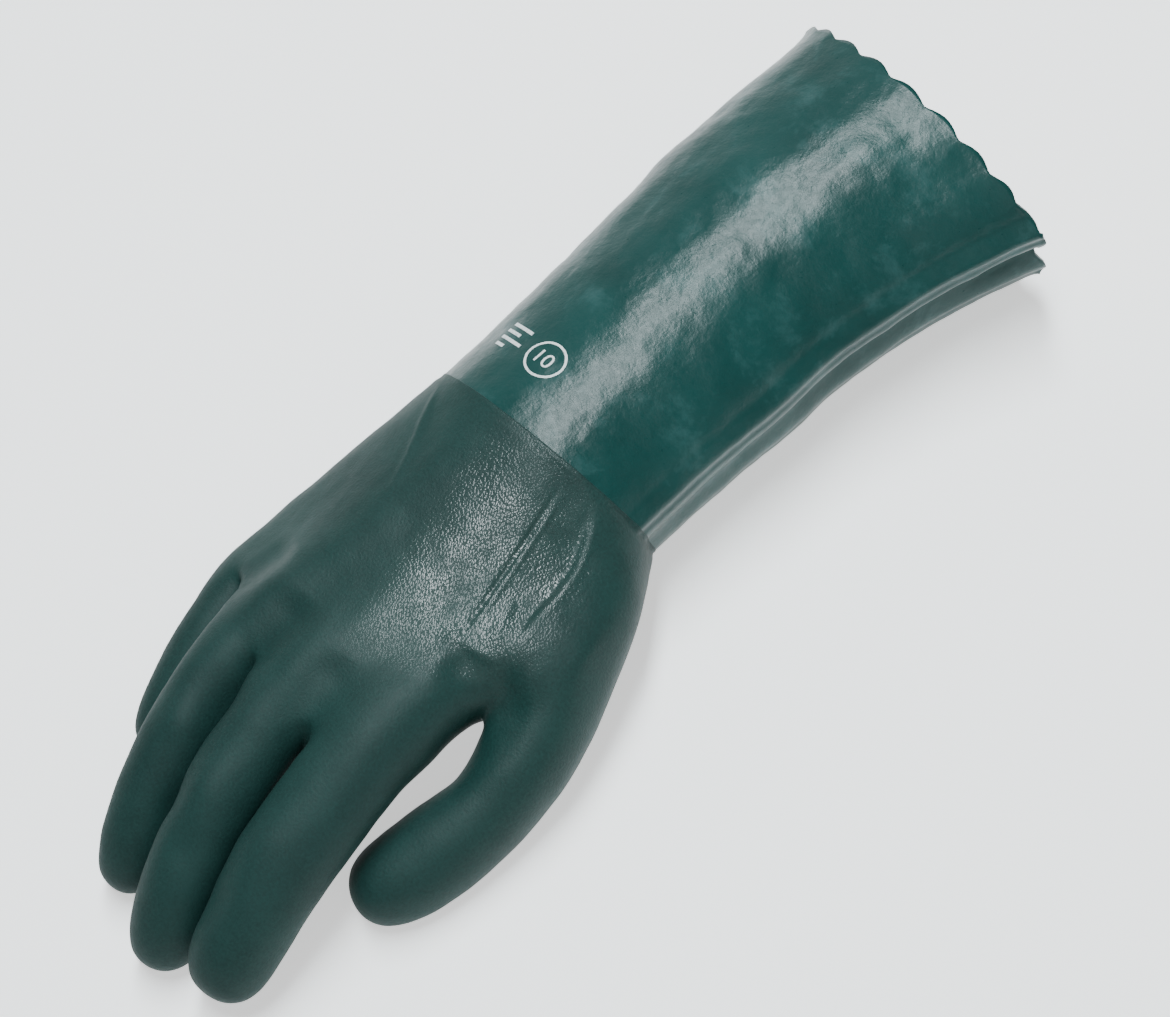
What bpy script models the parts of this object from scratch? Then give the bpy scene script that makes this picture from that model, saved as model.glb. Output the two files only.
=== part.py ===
# A right-hand PVC coated gauntlet glove, lying palm down on a surface.
# +X is the thumb side, -Y the way the fingers point, +Y the mouth of the cuff, +Z up.
# Metres and degrees. The origin ends up on the surface, under the middle of the glove.
import math

import bpy
from mathutils import Vector

# Walls: the cloth liner with its coat, and the second coat that the hand alone has.
WALL = 0.0016
COAT_STEP = 0.0004
NODE_GAP = 0.0003         # clearance where one piece meets the next
FLOOR_SOFTNESS = 0.0015   # how gently the skin flattens where it rests

# Cuff, from the wrist line to the scalloped end.
CUFF_LENGTH = 0.1544
CUFF_END_WIDTH = 0.1117
CUFF_END_HEIGHT = 0.0722
CUFF_END_SLANT = -0.07    # how far the cuff's end runs to +Y for each metre to the thumb side
CUFF_END_LEAN = 0.16      # and how far it runs to -Y for each metre up
WRIST_WIDTH = 0.0850
WRIST_HEIGHT = 0.0646
WRIST_SLANT = 0.07
WRIST_LEAN = 0.21
CUFF_SINK = 0.0019        # how far the cuff would reach below the surface if it kept round
SCALLOP_PITCH = 0.0126
SCALLOP_DEPTH = 0.0023

# Hand, from the wrist line to the webs between the fingers.
PALM_LENGTH = 0.1074      # from the wrist line to the middle finger's root
PALM_WIDTH = 0.0950
KNUCKLE_HEIGHT = 0.0359   # height of the middle finger's root over the surface
WEB_SETBACK = 0.0057      # how much nearer the wrist a web lies than the finger roots beside it
WEB_THICKNESS = 0.0199
THUMB_MOUND = 0.0228      # how far the ball of the thumb stands out of the palm's side

# Digits: length from the root to the tip, width across, depth from back to palm, the root's
# place as shares of the palm's width and length and of the knuckle height, the way the digit
# points (yaw to the thumb side, pitch down), how far it turns sideways, how its two joints
# bend, and the section that its own stall starts from.
DIGITS = (
    dict(name="index_finger", length=0.0798, width=0.0283, depth=0.0276, root=(0.405, -0.956, 0.98),
         yaw=9, pitch=8, turn=3, middle_bend=14, end_bend=12, stall=0),
    dict(name="middle_finger", length=0.0864, width=0.0251, depth=0.0261, root=(0.094, -1.000, 1.00),
         yaw=13, pitch=9, turn=6, middle_bend=18, end_bend=13, stall=0),
    dict(name="ring_finger", length=0.0874, width=0.0238, depth=0.0247, root=(-0.186, -0.920, 0.95),
         yaw=12, pitch=8, turn=7, middle_bend=17, end_bend=13, stall=0),
    dict(name="little_finger", length=0.0617, width=0.0215, depth=0.0224, root=(-0.438, -0.796, 0.53),
         yaw=15, pitch=3, turn=8, middle_bend=7, end_bend=6, stall=0),
    dict(name="thumb", length=0.0926, width=0.0283, depth=0.0280, root=(0.580, -0.389, 0.714),
         yaw=23, pitch=20, turn=-44, middle_bend=-12, end_bend=-6, stall=1),
)
FINGERS, THUMB = DIGITS[:4], DIGITS[4]

# Sections along a finger and along the thumb: shares of its length, width and depth, and how
# much of each joint's bend is made there.
FINGER_SECTIONS = (
    dict(along=0.10, wide=1.02, deep=1.02, middle=0.00, end=0.00),
    dict(along=0.27, wide=1.00, deep=1.00, middle=0.10, end=0.00),
    dict(along=0.42, wide=1.00, deep=1.02, middle=0.50, end=0.00),
    dict(along=0.56, wide=0.97, deep=0.95, middle=0.95, end=0.05),
    dict(along=0.70, wide=0.94, deep=0.92, middle=1.00, end=0.50),
    dict(along=0.83, wide=0.90, deep=0.86, middle=1.00, end=1.00),
    dict(along=0.94, wide=0.66, deep=0.62, middle=1.00, end=1.00),
)
THUMB_SECTIONS = (
    dict(along=0.23, wide=1.07, deep=1.06, middle=0.15, end=0.00),
    dict(along=0.37, wide=0.98, deep=1.02, middle=0.40, end=0.00),
    dict(along=0.50, wide=0.97, deep=1.00, middle=0.80, end=0.00),
    dict(along=0.63, wide=0.97, deep=0.99, middle=1.00, end=0.30),
    dict(along=0.75, wide=0.96, deep=0.95, middle=1.00, end=0.80),
    dict(along=0.86, wide=0.90, deep=0.86, middle=1.00, end=1.00),
    dict(along=0.95, wide=0.64, deep=0.60, middle=1.00, end=1.00),
)

# Sections of the palm from the wrist line to the finger roots: share of the way, width and
# thickness against a straight run between the two ends, and share of the thumb's mound.
PALM_SECTIONS = (
    dict(along=0.00, wide=1.00, thick=1.00, mound=0.00),
    dict(along=0.07, wide=1.00, thick=0.98, mound=0.28),
    dict(along=0.20, wide=1.01, thick=0.94, mound=0.78),
    dict(along=0.40, wide=1.01, thick=0.92, mound=1.22),
    dict(along=0.59, wide=1.01, thick=0.94, mound=0.26),
    dict(along=0.74, wide=1.00, thick=0.98, mound=0.00),
    dict(along=0.87, wide=1.00, thick=1.02, mound=0.00),
    dict(along=1.00, wide=1.00, thick=1.00, mound=0.00),
)
THUMB_HOLE = (2, 3, 4)       # the three palm sections that the thumb grows out of
MOUND_FADE = (1.0, 0.8, 0.3)  # the mound at the palm's thumb-side point and at the two beside it

# Folds pressed into the back of the hand: where each starts and ends from the middle of the
# wrist line, as shares of the palm's width and length, its half width and its depth as shares
# of the palm's width. Each has a low ridge on both sides.
HAND_FOLDS = (
    dict(name="back_crease", start=(0.27, -0.16), end=(0.37, -0.55), half=0.060, depth=0.013),
    dict(name="thumb_crease", start=(0.40, -0.20), end=(0.47, -0.48), half=0.060, depth=0.015),
    dict(name="outer_crease", start=(-0.22, -0.26), end=(-0.08, -0.48), half=0.070, depth=0.008),
    dict(name="web_hollow", start=(0.49, -0.53), end=(0.55, -0.57), half=0.110, depth=0.024),
)

# Long folds of the cuff: the angle of the valley round the cuff (0 at the thumb side, 90 on
# the back), its half angle, and its depth at the wrist line and at the end as shares of the
# cuff's end width. A ridge stands on both sides of each valley.
CUFF_FOLDS = (
    dict(name="thumb_side_fold", angle=-9, half=17, wrist=0.022, end=0.062),
    dict(name="back_ripple", angle=52, half=16, wrist=0.000, end=0.007),
    dict(name="outer_ripple", angle=118, half=20, wrist=0.000, end=0.006),
)
RIDGE_SHARE = 0.30        # height of a ridge beside a valley, as a share of the valley's depth

# Sections of the cuff: share of its length, how much of its flare it has, and how far it
# lies to the thumb side as a share of its end width.
CUFF_SECTIONS = (
    dict(along=0.00, flare=0.00, aside=-0.001),
    dict(along=0.06, flare=0.00, aside=-0.006),
    dict(along=0.22, flare=0.04, aside=-0.016),
    dict(along=0.36, flare=0.14, aside=-0.022),
    dict(along=0.50, flare=0.20, aside=-0.036),
    dict(along=0.62, flare=0.37, aside=-0.040),
    dict(along=0.74, flare=0.49, aside=-0.030),
    dict(along=0.84, flare=0.63, aside=-0.014),
    dict(along=0.93, flare=0.78, aside=0.004),
    dict(along=1.00, flare=1.00, aside=0.015),
)

PALM_POINTS = 20          # points round the palm: two sides, nine on the back, nine on the palm
DIGIT_POINTS = 8          # points round a digit, from its thumb side over its back
FIRST_ANGLE = -9          # where round the wrist the palm's thumb-side point lies
POINTS_PER_SCALLOP = 4
SMOOTH_LEVELS = 1

# Round control polygons shrink when they are subdivided; these factors make up for it.
PALM_FULLNESS = 6 / (4 + 2 * math.cos(2 * math.pi / PALM_POINTS))
DIGIT_FULLNESS = 6 / (4 + 2 * math.cos(2 * math.pi / DIGIT_POINTS))

COAT_COLOUR = (0.030, 0.090, 0.082)
MATERIALS = dict(
    smooth_coat=dict(colour=COAT_COLOUR, roughness=0.30),
    rough_coat=dict(colour=COAT_COLOUR, roughness=0.62),
)


def clear_scene():
    for item in list(bpy.data.objects):
        bpy.data.objects.remove(item, do_unlink=True)


def make_material(name):
    look = MATERIALS[name]
    material = bpy.data.materials.new(name)
    material.use_nodes = True
    shader = material.node_tree.nodes["Principled BSDF"]
    shader.inputs["Base Color"].default_value = (*look["colour"], 1.0)
    shader.inputs["Roughness"].default_value = look["roughness"]
    shader.inputs["Metallic"].default_value = 0.0
    return material


def mix(first, second, share):
    return first + (second - first) * share


def rested(point):
    # The skin lies flat where it would sink into the surface, and comes off it softly.
    z = point.z
    if z <= -FLOOR_SOFTNESS:
        z = 0.0
    elif z < FLOOR_SOFTNESS:
        z = (z + FLOOR_SOFTNESS) ** 2 / (4 * FLOOR_SOFTNESS)
    return Vector((point.x, point.y, z))


def fold_height(offset, half):
    # A rounded valley of depth 1 with a lower ridge on each side.
    reach = abs(offset) / half
    if reach < 1:
        return -math.cos(reach * math.pi / 2) ** 2
    if reach < 2:
        return RIDGE_SHARE * math.sin((reach - 1) * math.pi) ** 2
    return 0.0


def cuff_centre(row):
    height = mix(WRIST_HEIGHT, CUFF_END_HEIGHT, row["along"])
    return Vector((CUFF_END_WIDTH * row["aside"], CUFF_LENGTH * row["along"], height / 2 - CUFF_SINK))


def on_section(point, centre, along):
    # Leans a point with the section that it is on: the wrist line and the end lean differently.
    slant = mix(WRIST_SLANT, CUFF_END_SLANT, along)
    lean = mix(WRIST_LEAN, CUFF_END_LEAN, along)
    return Vector((point.x, centre.y + slant * (point.x - centre.x) - lean * (point.z - centre.z), point.z))


def section_normal(along):
    slant = mix(WRIST_SLANT, CUFF_END_SLANT, along)
    lean = mix(WRIST_LEAN, CUFF_END_LEAN, along)
    return Vector((-slant, 1.0, lean)).normalized()


def cuff_point(row, degrees):
    # A point of the cuff's outside, before it is flattened where it rests.
    turn = (degrees + 180) % 360 - 180
    fold = sum(mix(fold["wrist"], fold["end"], row["along"]) * CUFF_END_WIDTH
               * fold_height(turn - fold["angle"], fold["half"]) for fold in CUFF_FOLDS)
    angle = math.radians(degrees)
    half_width = mix(WRIST_WIDTH, CUFF_END_WIDTH, row["flare"]) / 2 + fold
    half_height = mix(WRIST_HEIGHT, CUFF_END_HEIGHT, row["along"]) / 2 + fold
    return cuff_centre(row) + Vector((half_width * math.cos(angle), 0, half_height * math.sin(angle)))


def digit_frame(digit, middle, end, turn_share):
    # The way a digit points, its side towards the thumb, and its back.
    yaw = math.radians(digit["yaw"] + digit["turn"] * turn_share)
    pitch = math.radians(digit["pitch"] + digit["middle_bend"] * middle + digit["end_bend"] * end)
    forward = Vector((math.sin(yaw) * math.cos(pitch), -math.cos(yaw) * math.cos(pitch), -math.sin(pitch)))
    side = Vector((math.cos(yaw), math.sin(yaw), 0.0))
    return forward, side, forward.cross(side)


def ring_point(centre, side, back, half_width, half_depth, step):
    angle = 2 * math.pi * step / DIGIT_POINTS
    return (centre + side * half_width * math.cos(angle) * DIGIT_FULLNESS
            + back * half_depth * math.sin(angle) * DIGIT_FULLNESS)


def root_place(digit):
    across, along, up = digit["root"]
    return Vector((PALM_WIDTH * across, PALM_LENGTH * along, KNUCKLE_HEIGHT * up))


def digit_rings(digit, sections):
    # Rings of eight points down the digit, and its tip.
    centre = root_place(digit)
    forward = digit_frame(digit, 0, 0, 0)[0]
    along = 0.0
    rings = []
    for row in sections:
        next_forward, side, back = digit_frame(digit, row["middle"], row["end"], row["along"])
        centre = centre + (forward + next_forward) / 2 * digit["length"] * (row["along"] - along)
        half_width = digit["width"] * row["wide"] / 2
        half_depth = digit["depth"] * row["deep"] / 2
        rings.append([ring_point(centre, side, back, half_width, half_depth, step)
                      for step in range(DIGIT_POINTS)])
        forward = next_forward
        along = row["along"]
    tip = centre + forward * digit["length"] * (1 - along) * DIGIT_FULLNESS
    return rings, tip


def root_points(finger):
    # The eight points round a finger's root: 0 is its thumb side, 2 its back, 6 its palm side.
    _, side, back = digit_frame(finger, 0, 0, 0)
    return [ring_point(root_place(finger), side, back, finger["width"] / 2, finger["depth"] / 2, step)
            for step in range(DIGIT_POINTS)]


def web_points(first, second):
    # The middle, back and palm side of the web between two fingers.
    across = root_place(second) - root_place(first)
    up = Vector((across.z, 0, -across.x)).normalized() * WEB_THICKNESS / 2
    set_back = Vector((0, WEB_SETBACK, 0))
    web = (root_place(first) + root_place(second)) / 2 + set_back
    return web, web + set_back + up, web - set_back - up


def root_ring(fingers):
    # The last ring of the palm, over the four finger roots, and the three web points in it.
    index, middle, ring, little = [root_points(finger) for finger in fingers]
    webs, web_tops, web_bottoms = zip(*[web_points(*pair) for pair in zip(fingers, fingers[1:])])
    backs = [index[1], index[2], web_tops[0], middle[2], web_tops[1], ring[2], web_tops[2],
             little[2], little[3]]
    palms = [little[5], little[6], web_bottoms[2], ring[6], web_bottoms[1], middle[6],
             web_bottoms[0], index[6], index[7]]
    return [index[0]] + backs + [little[4]] + palms, list(webs)


def wrist_ring():
    # The palm's first ring lies on the cuff's first section, proud of it by the second coat.
    row = CUFF_SECTIONS[0]
    centre = cuff_centre(row)
    ring = []
    for step in range(PALM_POINTS):
        out = cuff_point(row, FIRST_ANGLE + 360 * step / PALM_POINTS) - centre
        point = centre + out * PALM_FULLNESS + out.normalized() * COAT_STEP
        ring.append(on_section(point, centre, 0))
    return ring


def mound_share(step):
    away = min(step, PALM_POINTS - step)
    return MOUND_FADE[away] if away < len(MOUND_FADE) else 0.0


def palm_rings(first, last):
    first_centre = sum(first, Vector()) / PALM_POINTS
    last_centre = sum(last, Vector()) / PALM_POINTS
    rings = []
    for row in PALM_SECTIONS:
        centre = first_centre.lerp(last_centre, row["along"])
        ring = []
        for step in range(PALM_POINTS):
            out = first[step].lerp(last[step], row["along"]) - centre
            mound = THUMB_MOUND * row["mound"] * mound_share(step)
            ring.append(centre + Vector((out.x * row["wide"] + mound, out.y, out.z * row["thick"])))
        rings.append(ring)
    return rings


def hand_fold(point, normal):
    # How far the folds press a point of the hand inwards; only the back has them.
    place = Vector((point.x / PALM_WIDTH, point.y / PALM_LENGTH))
    inwards = 0.0
    for fold in HAND_FOLDS:
        start, end = Vector(fold["start"]), Vector(fold["end"])
        run = end - start
        share = min(max((place - start).dot(run) / run.length_squared, 0.0), 1.0)
        inwards -= fold["depth"] * fold_height((place - start - run * share).length, fold["half"])
    return inwards * PALM_WIDTH * max(normal.z, 0.0)


class Cage:
    # Control points and faces of the hand's outside, each face with the piece that it is on.
    def __init__(self):
        self.points = []
        self.faces = []
        self.pieces = []

    def add(self, points):
        start = len(self.points)
        self.points.extend(points)
        return list(range(start, len(self.points)))

    def face(self, corners, piece):
        self.faces.append(corners)
        self.pieces.append(piece)

    def join(self, near, far, piece, skip=()):
        count = len(near)
        for step in range(count):
            if step not in skip:
                follow = (step + 1) % count
                self.face((near[step], near[follow], far[follow], far[step]), piece)

    def cap(self, ring, tip, piece):
        for step in range(0, DIGIT_POINTS, 2):
            self.face((ring[step], ring[step + 1], ring[(step + 2) % DIGIT_POINTS], tip), piece)


def add_digit(cage, digit, sections, root, piece):
    rings, tip = digit_rings(digit, sections)
    near = root
    for place, points in enumerate(rings):
        far = cage.add(points)
        cage.join(near, far, piece if place > digit["stall"] else 0)
        near = far
    cage.cap(near, cage.add([tip])[0], piece)


def finger_roots(ring, webs):
    # The four loops of corners that the fingers grow out of, each from its thumb side round.
    return (
        (ring[0], ring[1], ring[2], ring[3], webs[0], ring[17], ring[18], ring[19]),
        (webs[0], ring[3], ring[4], ring[5], webs[1], ring[15], ring[16], ring[17]),
        (webs[1], ring[5], ring[6], ring[7], webs[2], ring[13], ring[14], ring[15]),
        (webs[2], ring[7], ring[8], ring[9], ring[10], ring[11], ring[12], ring[13]),
    )


def thumb_root(near, middle, far):
    return (near[0], near[1], middle[1], far[1], far[0], far[-1], middle[-1], near[-1])


def hand_cage():
    cage = Cage()
    last, webs = root_ring(FINGERS)
    before, centre, after = THUMB_HOLE
    rings = []
    for place, points in enumerate(palm_rings(wrist_ring(), last)):
        at_thumb = place == centre
        rings.append([None] + cage.add(points[1:]) if at_thumb else cage.add(points))
    for place in range(len(rings) - 1):
        beside_hole = place in (before, centre)
        cage.join(rings[place], rings[place + 1], 0, skip=(0, PALM_POINTS - 1) if beside_hole else ())
    roots = finger_roots(rings[-1], cage.add(webs))
    for place, finger in enumerate(FINGERS):
        add_digit(cage, finger, FINGER_SECTIONS, roots[place], place + 1)
    hole = thumb_root(rings[before], rings[centre], rings[after])
    add_digit(cage, THUMB, THUMB_SECTIONS, hole, len(DIGITS))
    return cage


def subdivided(cage, levels):
    # The cage's smooth surface as a mesh; each face keeps its piece as material index.
    mesh = bpy.data.meshes.new("hand_cage")
    mesh.from_pydata([tuple(point) for point in cage.points], [], cage.faces)
    for number in range(len(DIGITS) + 1):
        mesh.materials.append(bpy.data.materials.new(f"piece_{number}"))
    mesh.polygons.foreach_set("material_index", cage.pieces)
    holder = bpy.data.objects.new("hand_cage", mesh)
    bpy.context.scene.collection.objects.link(holder)
    modifier = holder.modifiers.new("smooth", "SUBSURF")
    modifier.levels = levels
    modifier.render_levels = levels
    graph = bpy.context.evaluated_depsgraph_get()
    smooth = bpy.data.meshes.new_from_object(holder.evaluated_get(graph))
    bpy.data.objects.remove(holder, do_unlink=True)
    return smooth


def rim_edges(faces):
    # Edges with a face on one side only, in the order that their face runs.
    runs = {(first, second) for face in faces for first, second in zip(face, face[1:] + face[:1])}
    return [run for run in sorted(runs) if (run[1], run[0]) not in runs]


def rim_corners(faces):
    return {corner for edge in rim_edges(faces) for corner in edge}


def shell_object(name, outer, inner, faces, material):
    # A closed wall: the outer faces, the inner faces turned round, and the rims between them.
    used = sorted({corner for face in faces for corner in face})
    place = {corner: index for index, corner in enumerate(used)}
    count = len(used)
    points = [outer[corner] for corner in used] + [inner[corner] for corner in used]
    solid = [[place[corner] for corner in face] for face in faces]
    solid += [[place[corner] + count for corner in reversed(face)] for face in faces]
    for first, second in rim_edges(faces):
        near, far = place[first], place[second]
        solid.append([far, near, near + count, far + count])
    mesh = bpy.data.meshes.new(name)
    mesh.from_pydata([tuple(point) for point in points], [], solid)
    mesh.materials.append(material)
    mesh.shade_smooth()
    bpy.context.scene.collection.objects.link(bpy.data.objects.new(name, mesh))


def in_plane(normal, plane):
    return (normal - plane * normal.dot(plane)).normalized()


def hand_skins(surface):
    # The outer and inner points of the hand's wall; its edge at the wrist stays in one plane.
    centre = cuff_centre(CUFF_SECTIONS[0])
    open_edges = rim_corners([list(polygon.vertices) for polygon in surface.polygons])
    outer = []
    for vertex in surface.vertices:
        point = rested(vertex.co - vertex.normal * hand_fold(vertex.co, vertex.normal))
        if vertex.index in open_edges:
            point = on_section(point, centre, 0) - Vector((0, NODE_GAP, 0))
        outer.append(point)
    surface.vertices.foreach_set("co", [value for point in outer for value in point])
    surface.update()
    inner = []
    for point, vertex in zip(outer, surface.vertices):
        at_edge = vertex.index in open_edges
        normal = in_plane(vertex.normal, section_normal(0)) if at_edge else vertex.normal
        inner.append(point - normal * (WALL + COAT_STEP))
    return outer, inner


def make_hand(material):
    surface = subdivided(hand_cage(), SMOOTH_LEVELS)
    outer, inner = hand_skins(surface)
    faces = [[] for _ in range(len(DIGITS) + 1)]
    for polygon in surface.polygons:
        faces[polygon.material_index].append(list(polygon.vertices))
    shell_object("hand_body", outer, inner, faces[0], material)
    in_body = {corner for face in faces[0] for corner in face}
    for digit, own_faces in zip(DIGITS, faces[1:]):
        row = (THUMB_SECTIONS if digit is THUMB else FINGER_SECTIONS)[digit["stall"]]
        shift = digit_frame(digit, row["middle"], row["end"], row["along"])[0] * NODE_GAP
        own_outer, own_inner = list(outer), list(inner)
        for corner in in_body & {corner for face in own_faces for corner in face}:
            own_outer[corner] = outer[corner] + shift
            own_inner[corner] = inner[corner] + shift
        shell_object(digit["name"], own_outer, own_inner, own_faces, material)


def make_cuff(material):
    scallops = round(math.pi * (CUFF_END_WIDTH + CUFF_END_HEIGHT) / 2 / SCALLOP_PITCH)
    around = scallops * POINTS_PER_SCALLOP
    points = []
    for row in CUFF_SECTIONS:
        centre = cuff_centre(row)
        for step in range(around):
            point = on_section(rested(cuff_point(row, 360 * step / around)), centre, row["along"])
            if row is CUFF_SECTIONS[-1]:
                point.y -= SCALLOP_DEPTH * (1 - abs(math.sin(math.pi * step / POINTS_PER_SCALLOP)))
            points.append(point)
    faces = []
    for row in range(len(CUFF_SECTIONS) - 1):
        near, far = row * around, (row + 1) * around
        for step in range(around):
            follow = (step + 1) % around
            faces.append([near + step, far + step, far + follow, near + follow])
    mesh = bpy.data.meshes.new("cuff_surface")
    mesh.from_pydata([tuple(point) for point in points], [], faces)
    inner = []
    for index, vertex in enumerate(mesh.vertices):
        normal = vertex.normal
        at_wrist, at_end = index < around, index >= len(points) - around
        if at_wrist or at_end:
            normal = in_plane(normal, section_normal(0 if at_wrist else 1))
        inner.append(points[index] - normal * WALL)
    shell_object("gauntlet_cuff", points, inner, faces, material)


def centre_on_surface():
    # The glove's box is centred over the origin and stands on the surface.
    items = [item for item in bpy.data.objects if item.type == "MESH"]
    corners = [vertex.co for item in items for vertex in item.data.vertices]
    low = Vector([min(corner[axis] for corner in corners) for axis in range(3)])
    high = Vector([max(corner[axis] for corner in corners) for axis in range(3)])
    shift = Vector((-(low.x + high.x) / 2, -(low.y + high.y) / 2, -low.z))
    for item in items:
        for vertex in item.data.vertices:
            vertex.co += shift


def main():
    clear_scene()
    make_hand(make_material("rough_coat"))
    make_cuff(make_material("smooth_coat"))
    centre_on_surface()


main()
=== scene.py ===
import math

import bmesh
import bpy
import numpy as np
from mathutils import Matrix, Vector
from mathutils.bvhtree import BVHTree


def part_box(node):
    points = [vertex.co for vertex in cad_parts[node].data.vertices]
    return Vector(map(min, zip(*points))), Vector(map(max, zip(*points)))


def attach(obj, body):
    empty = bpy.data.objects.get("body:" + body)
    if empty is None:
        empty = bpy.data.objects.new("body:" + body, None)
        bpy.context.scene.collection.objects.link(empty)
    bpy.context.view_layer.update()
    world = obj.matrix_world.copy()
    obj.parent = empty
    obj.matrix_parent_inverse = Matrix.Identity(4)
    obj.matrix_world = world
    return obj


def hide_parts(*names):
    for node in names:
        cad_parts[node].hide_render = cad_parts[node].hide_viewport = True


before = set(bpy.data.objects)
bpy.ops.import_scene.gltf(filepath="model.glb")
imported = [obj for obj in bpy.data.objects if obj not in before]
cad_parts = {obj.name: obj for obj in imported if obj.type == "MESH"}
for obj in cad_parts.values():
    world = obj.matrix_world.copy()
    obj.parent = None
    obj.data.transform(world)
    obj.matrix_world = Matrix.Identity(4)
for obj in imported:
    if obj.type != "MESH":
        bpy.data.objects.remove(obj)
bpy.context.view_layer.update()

# A right-hand PVC gauntlet glove lying palm down: +X thumb side, -Y fingers, +Y the cuff's mouth.
# Metres and degrees. Shapes are made with the middle of the wrist line over the origin and are
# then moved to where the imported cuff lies.

cuff = {
    "length": 0.1544, "endWidth": 0.1117, "endHeight": 0.0722,
    "wristWidth": 0.0850, "wristHeight": 0.0646,
    # how far a section runs to +Y for each metre to the thumb side, and to -Y for each metre up
    "wristSlant": 0.07, "endSlant": -0.07, "wristLean": 0.21, "endLean": 0.16,
    # how deep the section is sunk into the floor, and the height over which it bends on to it
    "sink": 0.0019, "floorSoftness": 0.0015,
    "wall": 0.0016,
    "scallops": 23, "scallopDepth": 0.0022, "scallopReach": 0.030, "scallopSoftness": 0.025,
    "pointsPerScallop": 12, "rows": 120,
    "ridgeShare": 0.30,                   # height of the ridges beside a fold, by its depth
    # share of the length that runs on under the hand's coat, and how far it sinks there
    "tuck": 0.026, "tuckSink": 0.0014,
    "calm": 0.010,                        # stretch beside the wrist line that has no lumps
}
# share of the cuff's length, share of its flare, shift to the thumb side in end widths
cuffSections = [
    (0.00, 0.00, -0.001), (0.06, 0.00, -0.006), (0.22, 0.04, -0.016), (0.36, 0.14, -0.022),
    (0.50, 0.20, -0.036), (0.62, 0.37, -0.040), (0.74, 0.49, -0.030), (0.84, 0.63, -0.014),
    (0.93, 0.78, 0.004), (1.00, 1.00, 0.015),
]
# long folds: angle round the cuff, half angle, depth at the wrist and at the end in end widths
cuffFolds = [
    (-9, 17, 0.022, 0.062), (52, 16, 0.000, 0.007), (118, 20, 0.000, 0.006),
    (14, 3.4, -0.0035, -0.0065),
]

hand = {
    "palmLength": 0.1074, "palmWidth": 0.0950, "knuckleHeight": 0.0359,
    "webSetback": 0.0057, "webFill": 0.0115, "webThickness": 0.0199, "thumbMound": 0.0228,
    "moundFade": (1.0, 0.8, 0.3),
    "coatStep": 0.0004, "wall": 0.0012,
    # the coat's edge lies this high on the cuff; it leaves the cuff's shape between these distances
    "edgeStep": 0.00018, "edgeLeave": (0.0004, 0.0032),
    "palmPoints": 20, "digitPoints": 8, "firstAngle": -9,
    "levels": 3,
}
# root: place across the palm, along it and up, by the palm's width, length and knuckle height;
# degrees: yaw to the thumb side, pitch down, turn over the whole length, bends of the two joints
digitKeys = (
    "name", "length", "width", "depth", "root", "yaw", "pitch", "turn", "middleBend", "endBend")
digits = [dict(zip(digitKeys, row)) for row in (
    ("index_finger", 0.0798, 0.0283, 0.0276, (0.405, -0.956, 0.980), 9, 8, 3, 14, 12),
    ("middle_finger", 0.0864, 0.0251, 0.0261, (0.094, -1.000, 1.000), 13, 9, 6, 18, 13),
    ("ring_finger", 0.0874, 0.0238, 0.0247, (-0.186, -0.920, 0.950), 12, 8, 7, 17, 13),
    ("little_finger", 0.0617, 0.0215, 0.0224, (-0.438, -0.796, 0.530), 15, 3, 8, 7, 6),
    ("thumb", 0.0926, 0.0283, 0.0280, (0.580, -0.389, 0.714), 23, 20, -44, -12, -6),
)]
# along, width, depth, share of the middle joint's bend, share of the end joint's bend
fingerSections = [
    (0.10, 1.02, 1.02, 0.00, 0.00), (0.27, 1.00, 1.00, 0.10, 0.00), (0.42, 1.00, 1.02, 0.50, 0.00),
    (0.56, 0.97, 0.95, 0.95, 0.05), (0.70, 0.94, 0.92, 1.00, 0.50), (0.83, 0.90, 0.86, 1.00, 1.00),
    (0.94, 0.66, 0.62, 1.00, 1.00),
]
thumbSections = [
    (0.23, 1.07, 1.06, 0.15, 0.00), (0.37, 0.98, 1.02, 0.40, 0.00), (0.50, 0.97, 1.00, 0.80, 0.00),
    (0.63, 0.97, 0.99, 1.00, 0.30), (0.75, 0.96, 0.95, 1.00, 0.80), (0.86, 0.90, 0.86, 1.00, 1.00),
    (0.95, 0.64, 0.60, 1.00, 1.00),
]
# along, width, thickness, share of the thumb's mound
palmSections = [
    (0.00, 1.00, 1.00, 0.00), (0.07, 1.00, 0.98, 0.28), (0.20, 1.01, 0.94, 0.78),
    (0.40, 1.01, 0.92, 1.22), (0.59, 1.01, 0.94, 0.26), (0.74, 1.00, 0.98, 0.00),
    (0.87, 1.00, 1.02, 0.00), (1.00, 1.00, 1.00, 0.00),
]
# the palm's sections before, through and after the thumb's root
thumbHole = (2, 3, 4)
# skin between thumb and index finger: section, point round it, how far it moves in millimetres
palmWeb = [(4, 0, (-3.0, -9.5, -0.5)), (4, 1, (-1.5, -6.5, 0.0)), (4, 19, (-1.0, -6.5, 0.0))]
thumbWeb = [
    (0, 3, (1.0, -6.5, -2.0)), (0, 4, (2.0, -7.0, -1.0)), (0, 5, (1.0, -4.0, 0.0)),
    (1, 3, (2.5, -4.0, -2.5)), (1, 4, (3.0, -4.0, -1.0)),
    (2, 3, (1.5, -1.0, -2.0)), (2, 4, (1.5, -1.0, -0.5)),
]

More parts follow.
